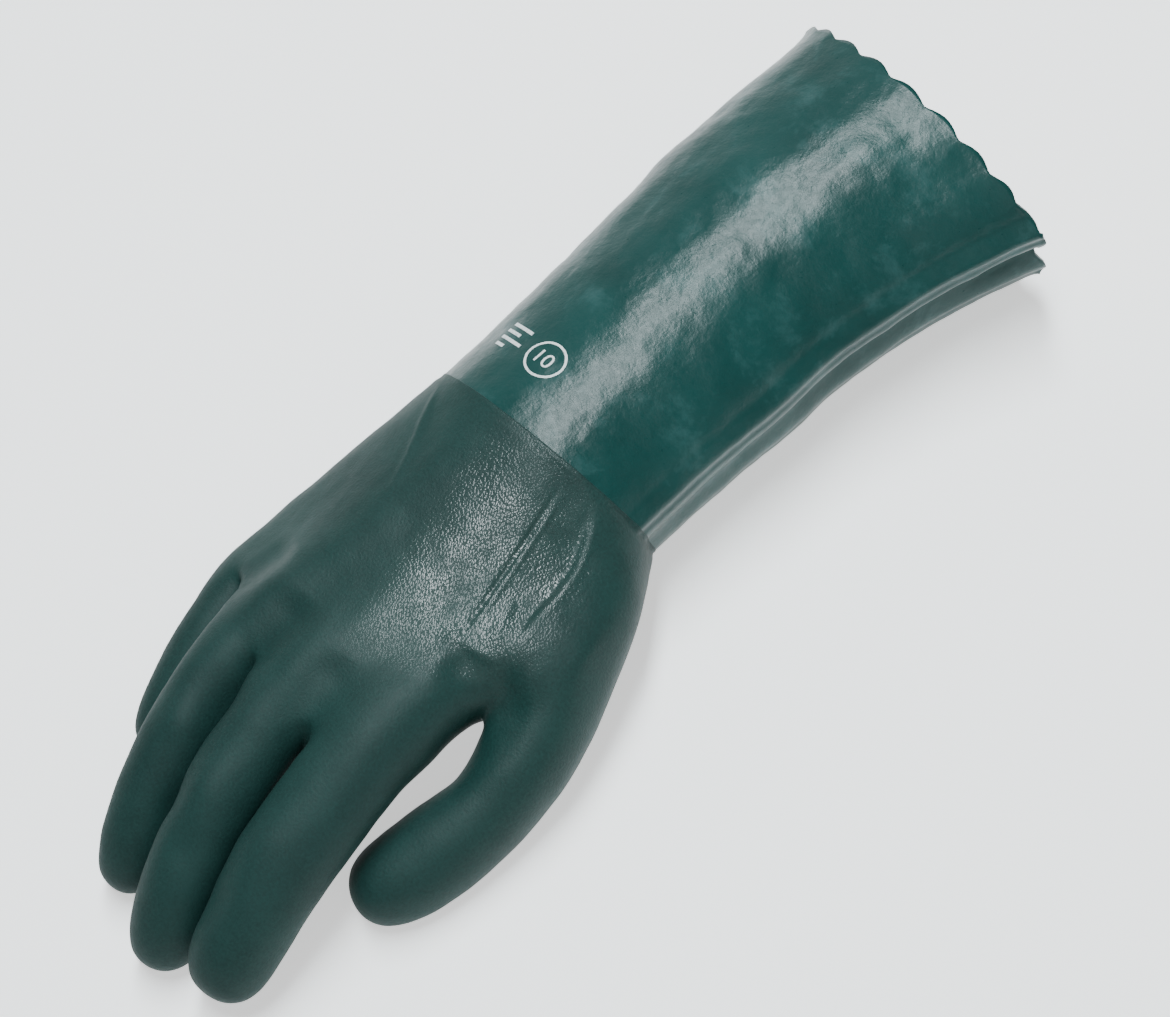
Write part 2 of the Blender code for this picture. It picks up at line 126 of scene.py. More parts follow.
# Folds and hollows of the hand's back, drawn from above in millimetres from the middle of the
# wrist line: route, half width on the outer side and on the thumb's side, and how far it sinks
# or, below 0, rises.
handFolds = {
    "backCrease": ([(24, -9), (26, -18), (28.5, -30), (31.5, -43), (34.5, -55), (37, -64)],
        0.8, 0.8, 0.42),
    "creaseLip": ([(25.8, -10), (30.2, -30), (33.2, -43), (36.4, -56), (38, -62)], 0.9, 0.9, -0.28),
    "creaseBed": ([(31, -6), (36.5, -15), (40.5, -23), (42.5, -31), (43.5, -40), (46, -52)],
        9.5, 1.9, 1.45),
    "longRidge": ([(34, -4), (39, -14), (43, -22), (45, -31), (46, -40), (49, -50)],
        1.5, 1.5, -0.3),
    "shortRidge": ([(37, -40), (41, -49), (44, -56)], 1.5, 1.5, -0.3),
    "thumbHollow": ([(49, -14), (54, -26), (57, -38)], 6.0, 6.0, 0.5),
    "webRidge": ([(30, -63), (36, -60), (42, -59), (49, -56)], 1.8, 1.8, -0.5),
    "webHollow": ([(36, -67), (44, -65), (52, -61), (58, -54)], 6.5, 6.5, 2.5),
    "outerCrease": ([(-33, -8), (-25, -22), (-18, -34), (-12, -46)], 1.2, 1.2, -0.55),
    "outerBed": ([(-26, -10), (-18, -26), (-10, -44)], 6.0, 6.0, 0.4),
    "wristDent": ([(16, -4), (24, -7), (31, -5)], 5.5, 5.5, 0.8),
    "indexValley": ([(24, -116), (20, -101), (17, -86)], 8.0, 8.0, 2.1),
    "middleValley": ([(-4, -110), (-6, -96), (-7, -82)], 8.0, 8.0, 2.2),
    "ringValley": ([(-35, -96), (-30, -84), (-26, -72)], 7.0, 7.0, 1.8),
}
# a fold fades over these upward parts of the normal and, at each end, these shares of its length
foldFade = {"side": (-0.1, 0.5), "end": (-0.05, 0.30)}
# Bumps and dents over the joints, drawn the same way: place, half width and height.
handBumps = {
    "ringJoint": ((-6, -131), 6, 1.6),
    "ringDent": ((-3, -120), 7, -1.1),
    "ringEndDent": ((8, -148), 6, -1.1),
    "middleJoint": ((18, -138), 7, 1.2),
    "middleTipDent": ((23, -155), 6, -1.2),
    "indexJoint": ((42, -138), 8, 1.0),
    "indexTipDent": ((41, -158), 6, -1.3),
    "littleKnuckle": ((-38, -88), 6, 1.0),
    "indexKnuckle": ((36, -92), 12, 1.0),
    "middleKnuckle": ((7, -95), 11, 1.0),
    "ringKnuckle": ((-17, -88), 10, 0.8),
}
# stretches of the back with fine folds, the finest last; each is cut once more where it faces up
# more than "normal"
fineBack = [
    {"low": (-45, -86), "high": (62, 4), "normal": 0.15},
    {"low": (20, -66), "high": (54, 0), "normal": 0.3},
]
# The skin between thumb and index finger is evened out round this place, which rounds its edge:
# fully up to the first reach and not at all from the second on.
webEnd = {"place": (0.051, -0.071, 0.031), "reach": (0.008, 0.017), "rounds": 48, "share": 0.5}

# Uneven skin: height of the lumps, and layers of lumps per metre with their share of that height.
# They reach their full height where the skin is 1 / offFloor metres above the floor.
lumps = {
    "cuff": {"height": 0.00075, "seed": 3.0,
             "layers": ((42.0, 1.35), (115.0, 0.36), (260.0, 0.10))},
    "hand": {"height": 0.00060, "seed": 8.0, "layers": ((38.0, 1.0), (90.0, 0.45))},
    "offFloor": 400,
}

camera = {
    "azimuth": 65, "elevation": 57,
    "handAngle": 40.1,                    # the way the hand lies in the picture
    "lens": 85, "sensor": 36, "distance": 0.8075, "target": (0.0190, -0.0026, 0.0285),
}


# Shape of the cuff and the hand

def mix(first, second, share):
    return first + (second - first) * share


def cuffFoldHeight(offset, half):
    reach = abs(offset) / half
    valley = -math.cos(min(reach, 1) * math.pi / 2) ** 2
    ridge = math.sin(min(max(reach - 1, 0), 1) * math.pi) ** 2
    return valley + cuff["ridgeShare"] * ridge


def cuffCentre(along, aside):
    height = mix(cuff["wristHeight"], cuff["endHeight"], along)
    return Vector((cuff["endWidth"] * aside, cuff["length"] * along, height / 2 - cuff["sink"]))


def onSection(point, centre, along):
    slant = mix(cuff["wristSlant"], cuff["endSlant"], along)
    lean = mix(cuff["wristLean"], cuff["endLean"], along)
    y = centre.y + slant * (point.x - centre.x) - lean * (point.z - centre.z)
    return Vector((point.x, y, point.z))


def cuffPoint(section, degrees):
    along, flare, aside = section
    turn = (degrees + 180) % 360 - 180
    fold = sum(mix(wrist, end, along) * cuff["endWidth"] * cuffFoldHeight(turn - angle, half)
               for angle, half, wrist, end in cuffFolds)
    halfWidth = mix(cuff["wristWidth"], cuff["endWidth"], flare) / 2 + fold
    halfHeight = mix(cuff["wristHeight"], cuff["endHeight"], along) / 2 + fold
    angle = math.radians(degrees)
    out = Vector((halfWidth * math.cos(angle), 0, halfHeight * math.sin(angle)))
    return cuffCentre(along, aside) + out


def fullness(count):
    # makes up for what a round cage of so many points loses when it is subdivided
    return 6 / (4 + 2 * math.cos(2 * math.pi / count))


def digitFrame(digit, middle, end, turnShare):
    yaw = math.radians(digit["yaw"] + digit["turn"] * turnShare)
    pitch = math.radians(digit["pitch"] + digit["middleBend"] * middle + digit["endBend"] * end)
    level = math.cos(pitch)
    forward = Vector((math.sin(yaw) * level, -math.cos(yaw) * level, -math.sin(pitch)))
    side = Vector((math.cos(yaw), math.sin(yaw), 0))
    return forward, side, forward.cross(side)


def ringPoint(centre, side, back, halfWidth, halfDepth, step):
    angle = 2 * math.pi * step / hand["digitPoints"]
    out = side * halfWidth * math.cos(angle) + back * halfDepth * math.sin(angle)
    return centre + out * fullness(hand["digitPoints"])


def rootPlace(digit):
    across, along, up = digit["root"]
    return Vector((
        hand["palmWidth"] * across, hand["palmLength"] * along, hand["knuckleHeight"] * up))


def digitRings(digit, sections):
    centre = rootPlace(digit)
    forward = digitFrame(digit, 0, 0, 0)[0]
    done = 0.0
    rings = []
    for along, wide, deep, middle, end in sections:
        nextForward, side, back = digitFrame(digit, middle, end, along)
        centre = centre + (forward + nextForward) / 2 * digit["length"] * (along - done)
        halfWidth, halfDepth = digit["width"] * wide / 2, digit["depth"] * deep / 2
        rings.append([ringPoint(centre, side, back, halfWidth, halfDepth, step)
                      for step in range(hand["digitPoints"])])
        forward, done = nextForward, along
    tip = centre + forward * digit["length"] * (1 - done) * fullness(hand["digitPoints"])
    return rings, tip


def rootPoints(finger):
    _, side, back = digitFrame(finger, 0, 0, 0)
    centre, halfWidth, halfDepth = rootPlace(finger), finger["width"] / 2, finger["depth"] / 2
    return [ringPoint(centre, side, back, halfWidth, halfDepth, step)
            for step in range(hand["digitPoints"])]


def webPoints(first, second):
    # the middle, top and bottom of the skin between two fingers
    across = rootPlace(second) - rootPlace(first)
    up = Vector((across.z, 0, -across.x)).normalized() * hand["webThickness"] / 2
    setBack = Vector((0, hand["webSetback"], 0))
    web = (rootPlace(first) + rootPlace(second)) / 2 + setBack - Vector((0, hand["webFill"], 0))
    return web, web + setBack + up, web - setBack - up


def rootRing(fingers):
    index, middle, ring, little = [rootPoints(finger) for finger in fingers]
    webs, tops, bottoms = zip(*[webPoints(*pair) for pair in zip(fingers, fingers[1:])])
    backs = [*index[:3], tops[0], middle[2], tops[1], ring[2], tops[2], *little[2:5]]
    palms = [*little[5:7], bottoms[2], ring[6], bottoms[1], middle[6], bottoms[0], *index[6:]]
    return backs + palms, list(webs)


def wristRing():
    centre = cuffCentre(*cuffSections[0][::2])
    ring = []
    for step in range(hand["palmPoints"]):
        angle = hand["firstAngle"] + 360 * step / hand["palmPoints"]
        out = cuffPoint(cuffSections[0], angle) - centre
        point = centre + out * fullness(hand["palmPoints"]) + out.normalized() * hand["coatStep"]
        ring.append(onSection(point, centre, 0))
    return ring


def moved(rings, table):
    for ring, step, move in table:
        rings[ring][step] = rings[ring][step] + Vector(move) / 1000
    return rings


def palmRings(first, last):
    count = hand["palmPoints"]
    firstCentre, lastCentre = sum(first, Vector()) / count, sum(last, Vector()) / count
    rings = []
    for along, wide, thick, mound in palmSections:
        centre = firstCentre.lerp(lastCentre, along)
        ring = []
        for step in range(count):
            away = min(step, count - step)
            fade = hand["moundFade"][away] if away < len(hand["moundFade"]) else 0
            out = first[step].lerp(last[step], along) - centre
            swell = hand["thumbMound"] * mound * fade
            ring.append(centre + Vector((out.x * wide + swell, out.y, out.z * thick)))
        rings.append(ring)
    return moved(rings, palmWeb)


def handCage():
    # a coarse skin of four-sided faces: 20 points round the palm, 8 round each finger
    points, faces = [], []

    def add(more):
        points.extend(more)
        return list(range(len(points) - len(more), len(points)))

    def join(near, far, skip=()):
        for step in range(len(near)):
            if step not in skip:
                follow = (step + 1) % len(near)
                faces.append((near[step], near[follow], far[follow], far[step]))

    def addDigit(digit, sections, root):
        rings, tip = digitRings(digit, sections)
        if digit["name"] == "thumb":
            moved(rings, thumbWeb)
        near = root
        for ring in rings:
            far = add(ring)
            join(near, far)
            near = far
        end = add([tip])[0]
        for step in range(0, len(near), 2):
            faces.append((near[step], near[step + 1], near[(step + 2) % len(near)], end))

    last, webs = rootRing(digits[:4])
    before, centre, after = thumbHole
    rings = []
    for place, ring in enumerate(palmRings(wristRing(), last)):
        rings.append([None] + add(ring[1:]) if place == centre else add(ring))
    for place in range(len(rings) - 1):
        skip = (0, hand["palmPoints"] - 1) if place in (before, centre) else ()
        join(rings[place], rings[place + 1], skip)
    web, rim = add(webs), rings[-1]
    roots = [
        (*rim[0:4], web[0], *rim[17:20]),
        (web[0], *rim[3:6], web[1], *rim[15:18]),
        (web[1], *rim[5:8], web[2], *rim[13:16]),
        (web[2], *rim[7:14]),
    ]
    for finger, root in zip(digits, roots):
        addDigit(finger, fingerSections, root)
    near, middle, far = rings[before], rings[centre], rings[after]
    hole = (near[0], near[1], middle[1], far[1], far[0], far[-1], middle[-1], near[-1])
    addDigit(digits[4], thumbSections, hole)
    return points, faces


# Meshes

mergeGap = 0.00001                        # points nearer than this are one


def newItem(name, data):
    item = bpy.data.objects.new(name, data)
    bpy.context.scene.collection.objects.link(item)
    return item


def meshObject(name, points, faces):
    mesh = bpy.data.meshes.new(name)
    mesh.from_pydata([tuple(point) for point in points], [], faces)
    return newItem(name, mesh)


def meshOf(item):
    graph = bpy.context.evaluated_depsgraph_get()
    return bpy.data.meshes.new_from_object(item.evaluated_get(graph), depsgraph=graph)


def applied(item):
    mesh = meshOf(item)
    item.modifiers.clear()
    item.data = mesh
    return item


def readPoints(mesh, kind="co"):
    values = np.zeros(len(mesh.vertices) * 3)
    mesh.vertices.foreach_get(kind, values)
    return values.reshape(-1, 3)


def writePoints(mesh, points):
    mesh.vertices.foreach_set("co", np.asarray(points, float).ravel())
    mesh.update()


def routeDistance(places, route):
    # distance in plan to a route, above 0 on its thumb side, and the share of its length there
    route = np.array(route, float)
    runs = route[1:] - route[:-1]
    lengths = np.hypot(*runs.T)
    starts = np.concatenate([[0], lengths.cumsum()])
    best = np.full(len(places), np.inf)
    share, side = np.zeros(len(places)), np.zeros(len(places))
    for start, run, length, before in zip(route, runs, lengths, starts):
        away = places - start
        along = np.clip((away @ run) / length ** 2, 0, 1)
        gap = np.hypot(*(away - along[:, None] * run).T)
        nearer = gap < best
        side = np.where(nearer, run[0] * away[:, 1] - run[1] * away[:, 0], side)
        best = np.where(nearer, gap, best)
        share = np.where(nearer, (before + along * length) / starts[-1], share)
    return np.where(side > 0, best, -best), share


def smoothStep(low, high, value):
    share = np.clip((value - low) / (high - low), 0, 1)
    return share * share * (3 - 2 * share)


def wristDistance(points):
    # how far points lie down the hand from the wrist line
    centre = cuffCentre(*cuffSections[0][::2])
    aside, up = points[:, 0] - centre.x, points[:, 2] - centre.z
    return cuff["wristSlant"] * aside - cuff["wristLean"] * up - points[:, 1]


def besideWrist(points):
    # 0 at the edge of the hand's coat to 1 a little further down the hand
    return smoothStep(0, cuff["calm"], wristDistance(points))


def foldHand(points, normals):
    # moves the skin of the back, and less the sides, in and out by the folds and bumps
    places = points[:, :2] * 1000
    up = smoothStep(*foldFade["side"], normals[:, 2])
    height = np.zeros(len(points))
    for route, outerHalf, thumbHalf, depth in handFolds.values():
        gap, share = routeDistance(places, route)
        taper = smoothStep(*foldFade["end"], share) * smoothStep(*foldFade["end"], 1 - share)
        half = np.where(gap > 0, thumbHalf, outerHalf)
        height -= depth * np.exp(-(gap / half) ** 2) * taper
    for place, half, rise in handBumps.values():
        gap = np.hypot(*(places - np.array(place, float)).T)
        height += rise * np.exp(-(gap / half) ** 2)
    return points + normals * (height * up * besideWrist(points) / 1000)[:, None]


def refineBack(mesh, stretch):
    # one more cut of the faces that carry the fine folds
    low, high = stretch["low"], stretch["high"]
    shape = bmesh.new()
    shape.from_mesh(mesh)
    chosen = set()
    for face in shape.faces:
        x, y, _ = face.calc_center_median() * 1000
        inside = low[0] < x < high[0] and low[1] < y < high[1]
        if inside and face.normal.z > stretch["normal"]:
            chosen.update(face.edges)
    bmesh.ops.subdivide_edges(
        shape, edges=list(chosen), cuts=1, smooth=1.0, use_grid_fill=True)
    shape.to_mesh(mesh)
    shape.free()


def roundWeb(mesh):
    # moves points near the web towards the mean of their neighbours
    points = readPoints(mesh)
    ends = np.zeros(len(mesh.edges) * 2, int)
    mesh.edges.foreach_get("vertices", ends)
    ends = ends.reshape(-1, 2)
    gap = np.linalg.norm(points - np.array(webEnd["place"]), axis=1)
    share = (webEnd["share"] * (1 - smoothStep(*webEnd["reach"], gap)))[:, None]
    count = np.bincount(ends.ravel(), minlength=len(points))[:, None]
    for _ in range(webEnd["rounds"]):
        total = np.zeros_like(points)
        np.add.at(total, ends[:, 0], points[ends[:, 1]])
        np.add.at(total, ends[:, 1], points[ends[:, 0]])
        points += (total / count - points) * share
    writePoints(mesh, points)


def bentOnFloor(heights):
    # heights near the floor bend softly on to it
    soft = cuff["floorSoftness"]
    bend = (heights + soft) ** 2 / (4 * soft)
    return np.where(heights <= -soft, 0, np.where(heights < soft, bend, heights))


def makeHand():
    points, faces = handCage()
    skin = meshObject("hand_coat", points, faces)
    smooth = skin.modifiers.new("smooth", "SUBSURF")
    smooth.levels = smooth.render_levels = hand["levels"]
    applied(skin)
    roundWeb(skin.data)
    for stretch in fineBack:
        refineBack(skin.data, stretch)
    surface = foldHand(readPoints(skin.data), readPoints(skin.data, "normal"))
    surface[:, 2] = bentOnFloor(surface[:, 2])
    writePoints(skin.data, surface)
    loose = skin.data.attributes.new("loose", "FLOAT", "POINT")
    loose.data.foreach_set("value", besideWrist(surface))
    inputs = {"Height": lumps["hand"]["height"], "Seed": lumps["hand"]["seed"]}
    tree, start, end = newTree("hand_lumps", inputs, geometryIn=True)
    lumped = addLumps(tree, start.outputs["Geometry"], start.outputs["Height"],
                      start.outputs["Seed"], lumps["hand"]["layers"])
    tree.links.new(lumped, end.inputs[0])
    return runTree(skin, tree, inputs)


def surfaceTree(item):
    mesh = item.data
    return BVHTree.FromPolygons(
        [corner.co for corner in mesh.vertices], [face.vertices for face in mesh.polygons])


def layOnCuff(handItem, cuffItem):
    # brings the edge of the hand's coat close on to the cuff
    points = readPoints(handItem.data)
    down = wristDistance(points)
    leave = hand["edgeLeave"]
    tree = surfaceTree(cuffItem)
    for place in np.nonzero(down < leave[1])[0]:
        spot, normal, _, _ = tree.find_nearest(Vector(points[place]))
        share = 1 - smoothStep(*leave, down[place])
        points[place] = mix(points[place], np.array(spot + normal * hand["edgeStep"]), share)
    points[:, 2] = np.maximum(points[:, 2], 0)
    writePoints(handItem.data, points)


# Node trees: sums written out as formulas

class Value:
    # a number that a node tree works out
    def __init__(self, tree, socket):
        self.tree = tree
        self.socket = socket

    def math(self, operation, *others):
        inputs = dict(enumerate((self, *others)))
        made = node(self.tree, "ShaderNodeMath", inputs, operation=operation)
        return Value(self.tree, made.outputs[0])

    def clamped(self, low=0, high=1):
        return self.math("MAXIMUM", low).math("MINIMUM", high)

    def __add__(self, other):
        return self.math("ADD", other)

    def __sub__(self, other):
        return self.math("SUBTRACT", other)

    def __mul__(self, other):
        return self.math("MULTIPLY", other)

    def __truediv__(self, other):
        return self.math("DIVIDE", other)

    __radd__, __rmul__ = __add__, __mul__


socketKinds = {float: "Float", int: "Int", bpy.types.Material: "Material"}


def newTree(name, inputs, geometryIn=False):
    # inputs: label and value of each input
    tree = bpy.data.node_groups.new(name, "GeometryNodeTree")
    if geometryIn:
        tree.interface.new_socket("Geometry", in_out="INPUT", socket_type="NodeSocketGeometry")
    for label, value in inputs.items():
        kind = "NodeSocket" + socketKinds[type(value)]
        socket = tree.interface.new_socket(label, in_out="INPUT", socket_type=kind)
        if kind != "NodeSocketMaterial":
            socket.default_value = value
    tree.interface.new_socket("Geometry", in_out="OUTPUT", socket_type="NodeSocketGeometry")
    return tree, tree.nodes.new("NodeGroupInput"), tree.nodes.new("NodeGroupOutput")


def feed(tree, made, inputs):
    for key, value in inputs.items():
        if isinstance(value, Value):
            value = value.socket
        if isinstance(value, bpy.types.NodeSocket):
            tree.links.new(value, made.inputs[key])
        else:
            made.inputs[key].default_value = value


def node(tree, kind, inputs=None, **settings):
    made = tree.nodes.new(kind)
    for key, value in settings.items():
        setattr(made, key, value)
    feed(tree, made, inputs or {})
    return made


def partsOf(tree, vector):
    # x, y and z as values
    parts = node(tree, "ShaderNodeSeparateXYZ", {0: vector}).outputs
    return [Value(tree, part) for part in parts]


def positionOf(tree):
    return tree.nodes.new("GeometryNodeInputPosition").outputs[0]


def runTree(item, tree, inputs):
    modifier = item.modifiers.new("build", "NODES")
    modifier.node_group = tree
    for socket in tree.interface.items_tree:
        if socket.item_type == "SOCKET" and socket.in_out == "INPUT" and socket.name in inputs:
            modifier[socket.identifier] = inputs[socket.name]
    return applied(item)


def curveOf(tree, along, table, reach):
    # a smooth curve through the table's rows; the node knows values from 0 to 1 alone, so they are
    # shared out over reach
    low, high = reach
    curve = tree.nodes.new("ShaderNodeFloatCurve")
    points = curve.mapping.curves[0].points
    rows = [(place, (value - low) / (high - low)) for place, value in table]
    points[0].location, points[1].location = rows[0], rows[-1]
    for row in rows[1:-1]:
        points.new(*row)
    curve.mapping.update()
    tree.links.new(along.socket, curve.inputs["Value"])
    return Value(tree, curve.outputs["Value"]) * (high - low) + low


def noiseOf4(tree, position, seed, scale):
    speckle = node(tree, "ShaderNodeTexNoise", {
        "Vector": position, "W": seed, "Scale": scale, "Detail": 2.0}, noise_dimensions="4D")
    return Value(tree, speckle.outputs[0]) - 0.5


def addLumps(tree, geometry, height, seed, layers):
    # moves a surface in and out along its normals by layered noise, less where it meets the floor
    position = positionOf(tree)
    total = None
    for scale, share in layers:
        term = noiseOf4(tree, position, seed, scale) * share
        total = term if total is None else total + term
    offFloor = (partsOf(tree, position)[2] * lumps["offFloor"]).math("MINIMUM", 1)
    attribute = node(tree, "GeometryNodeInputNamedAttribute", {"Name": "loose"})
    loose = Value(tree, attribute.outputs[0])
    normal = tree.nodes.new("GeometryNodeInputNormal").outputs[0]
    push = node(tree, "ShaderNodeVectorMath", {
        0: normal, "Scale": total * offFloor * loose * 2 * Value(tree, height)}, operation="SCALE")
    lumped = node(tree, "GeometryNodeSetPosition", {
        "Geometry": geometry, "Offset": push.outputs[0]})
    return lumped.outputs[0]


def cuffTree(material):
    inputs = {
        "Length": cuff["length"], "Sink": cuff["sink"],
        "End Width": cuff["endWidth"], "End Height": cuff["endHeight"],
        "Wrist Width": cuff["wristWidth"], "Wrist Height": cuff["wristHeight"],
        "Scallops": cuff["scallops"], "Scallop Depth": cuff["scallopDepth"],
        "Rows": cuff["rows"], "Lumps": lumps["cuff"]["height"], "Seed": lumps["cuff"]["seed"],
        "Material": material,
    }
    tree, start, end = newTree("cuff", inputs)
    value = {label: Value(tree, start.outputs[label]) for label in inputs if label != "Material"}
    # a flat grid: x runs once round the cuff, y from the tuck under the hand's coat to the mouth
    around = value["Scallops"] * cuff["pointsPerScallop"] + 1
    grid = node(tree, "GeometryNodeMeshGrid", {
        "Size X": 1.0, "Size Y": 1.0, "Vertices X": around, "Vertices Y": value["Rows"]})
    gridX, gridY, _ = partsOf(tree, positionOf(tree))
    turnShare = gridX + 0.5
    along = (gridY + 0.5) * (1 + cuff["tuck"]) - cuff["tuck"]
    angle = turnShare * (2 * math.pi)
    flare = curveOf(tree, along, [(row[0], row[1]) for row in cuffSections], (-0.2, 1.2))
    aside = curveOf(tree, along, [(row[0], row[2]) for row in cuffSections], (-0.06, 0.06))
    turn = (turnShare * 360 + 180).math("FLOORED_MODULO", 360) - 180
    fold = None
    for foldAngle, half, wristDepth, endDepth in cuffFolds:
        reach = (turn - foldAngle).math("ABSOLUTE") / half
        valley = (reach.math("MINIMUM", 1) * (math.pi / 2)).math("COSINE").math("POWER", 2) * -1
        ridge = ((reach - 1).clamped() * math.pi).math("SINE").math("POWER", 2)
        term = (valley + ridge * cuff["ridgeShare"]) * mix(wristDepth, endDepth, along)
        fold = term if fold is None else fold + term
    under = along.math("MINIMUM", 0) / cuff["tuck"]
    fold = fold * value["End Width"] + under * under * -cuff["tuckSink"]
    halfWidth = mix(value["Wrist Width"], value["End Width"], flare) * 0.5 + fold
    fullHeight = mix(value["Wrist Height"], value["End Height"], along)
    halfHeight = fullHeight * 0.5 + fold
    aroundX = halfWidth * angle.math("COSINE")
    middle = fullHeight * 0.5 - value["Sink"]
    z = halfHeight * angle.math("SINE") + middle
    soft = cuff["floorSoftness"]
    lifted = (z + soft).clamped(0, 2 * soft)
    z = lifted * lifted / (4 * soft) + (z - soft).math("MAXIMUM", 0)
    slant = mix(cuff["wristSlant"], cuff["endSlant"], along)
    lean = mix(cuff["wristLean"], cuff["endLean"], along)
    wave = (turnShare * value["Scallops"] * math.pi).math("SINE")
    lobe = ((wave * wave + cuff["scallopSoftness"]).math("SQRT") - 1) * value["Scallop Depth"]
    edge = ((along - 1) / cuff["scallopReach"] + 1).math("MAXIMUM", 0)
    y = value["Length"] * along + slant * aroundX - lean * (z - middle) + lobe * edge * edge
    x = aroundX + aside * value["End Width"]
    spot = node(tree, "ShaderNodeCombineXYZ", {0: x, 1: y, 2: z})
    shaped = node(tree, "GeometryNodeSetPosition", {
        "Geometry": grid.outputs["Mesh"], "Position": spot.outputs[0]})
    mapped = node(tree, "GeometryNodeStoreNamedAttribute", {
        "Geometry": shaped.outputs[0], "Name": "UVMap", "Value": grid.outputs["UV Map"],
    }, data_type="FLOAT2", domain="CORNER")
    calm = (along * value["Length"] / cuff["calm"]).clamped()
    stored = node(tree, "GeometryNodeStoreNamedAttribute", {
        "Geometry": mapped.outputs[0], "Name": "loose", "Value": calm,
    }, data_type="FLOAT", domain="POINT")
    outward = node(tree, "GeometryNodeFlipFaces", {0: stored.outputs[0]})
    closed = node(tree, "GeometryNodeMergeByDistance", {
        "Geometry": outward.outputs[0], "Distance": mergeGap})
    lumped = addLumps(tree, closed.outputs[0], value["Lumps"].socket, value["Seed"].socket,
                      lumps["cuff"]["layers"])
    painted = node(tree, "GeometryNodeSetMaterial", {
        "Geometry": lumped, "Material": start.outputs["Material"]})
    realized = node(tree, "GeometryNodeRealizeInstances", {0: painted.outputs[0]})
    tree.links.new(realized.outputs[0], end.inputs[0])
    return tree, inputs


# The hand coat's edge: a thin roll of the coat along the wrist line

roll = {
    "radius": 0.00020, "sides": 10, "points": 320,
    "inward": 0.0045,                     # how far it sits in from the skin's edge, by its distance
    "waver": 0.00012, "waverScale": 160.0, "seed": 5.0,
}


def rollTree(material):
    inputs = {
        "Radius": roll["radius"], "Sides": roll["sides"], "Points": roll["points"],
        "Inward": roll["inward"], "Waver": roll["waver"], "Seed": roll["seed"],
        "Material": material,
    }
    tree, start, end = newTree("edge_roll", inputs, geometryIn=True)
    value = {label: Value(tree, start.outputs[label]) for label in inputs if label != "Material"}
    neighbours = Value(tree, tree.nodes.new("GeometryNodeInputMeshEdgeNeighbors").outputs[0])
    # the open edge of the skin is where an edge has one face
    edge = node(tree, "GeometryNodeMeshToCurve", {
        "Mesh": start.outputs["Geometry"], "Selection": neighbours.math("LESS_THAN", 1.5)})
    path = node(tree, "GeometryNodeResampleCurve", {
        "Curve": edge.outputs[0], "Count": value["Points"]})
    position = positionOf(tree)
    x, _, z = partsOf(tree, position)
    middle = cuffCentre(*cuffSections[0][::2])
    wander = noiseOf4(tree, position, value["Seed"], roll["waverScale"]) * value["Waver"]
    inX = (x - middle.x) * value["Inward"] * -1
    inZ = (z - middle.z) * value["Inward"] * -1
    lift = (z * -1 + value["Radius"]).math("MAXIMUM", 0)
    move = node(tree, "ShaderNodeCombineXYZ", {0: inX, 1: wander, 2: inZ + lift})
    path = node(tree, "GeometryNodeSetPosition", {
        "Geometry": path.outputs[0], "Offset": move.outputs[0]})
    profile = node(tree, "GeometryNodeCurvePrimitiveCircle", {
        "Resolution": value["Sides"], "Radius": value["Radius"]})
    body = node(tree, "GeometryNodeCurveToMesh", {
        "Curve": path.outputs[0], "Profile Curve": profile.outputs[0]})
    realized = node(tree, "GeometryNodeRealizeInstances", {0: body.outputs[0]})
    painted = node(tree, "GeometryNodeSetMaterial", {
        "Geometry": realized.outputs[0], "Material": start.outputs["Material"]})
    tree.links.new(painted.outputs[0], end.inputs[0])
    return tree, inputs


# The printed size: numbers in a ring and plain bars, laid on the cuff near the wrist

sizePrint = {
    # its middle: angle round the cuff and share of the cuff's length
    "angle": 98, "along": 0.128,
    # height over the cuff, thickness, and how far outside the cuff a point is dropped from
    "lift": 0.00014, "thickness": 0.00010, "reach": 0.006,
    "number": "10", "numberHeight": 0.0066, "numberShift": (-0.00395, -0.0023),
    "ring": {"radius": 0.0062, "width": 0.00075, "steps": 56},
    # middle across and along the cuff, length and width
    "bars": [
        (-0.0150, 0.0040, 0.0100, 0.0011), (-0.0166, 0.0014, 0.0068, 0.0011),
        (-0.0150, -0.0012, 0.0100, 0.0011), (-0.0178, -0.0038, 0.0044, 0.0011),
    ],
    "cells": 12,                          # faces along a bar, which let it bend round the cuff
}


def ringFaces(points, faces):
    ring = sizePrint["ring"]
    first = len(points)
    for step in range(ring["steps"]):
        angle = 2 * math.pi * step / ring["steps"]
        for radius in (ring["radius"], ring["radius"] - ring["width"]):
            points.append((radius * math.cos(angle), radius * math.sin(angle)))
        a, b = first + 2 * step, first + 2 * ((step + 1) % ring["steps"])
        faces.append((a, b, b + 1, a + 1))


def barFaces(points, faces, bar):
    across, along, length, width = bar
    first = len(points)
    for step in range(sizePrint["cells"] + 1):
        place = across + length * (step / sizePrint["cells"] - 0.5)
        points.extend([(place, along - width / 2), (place, along + width / 2)])
    for step in range(sizePrint["cells"]):
        a = first + 2 * step
        faces.append((a, a + 2, a + 3, a + 1))


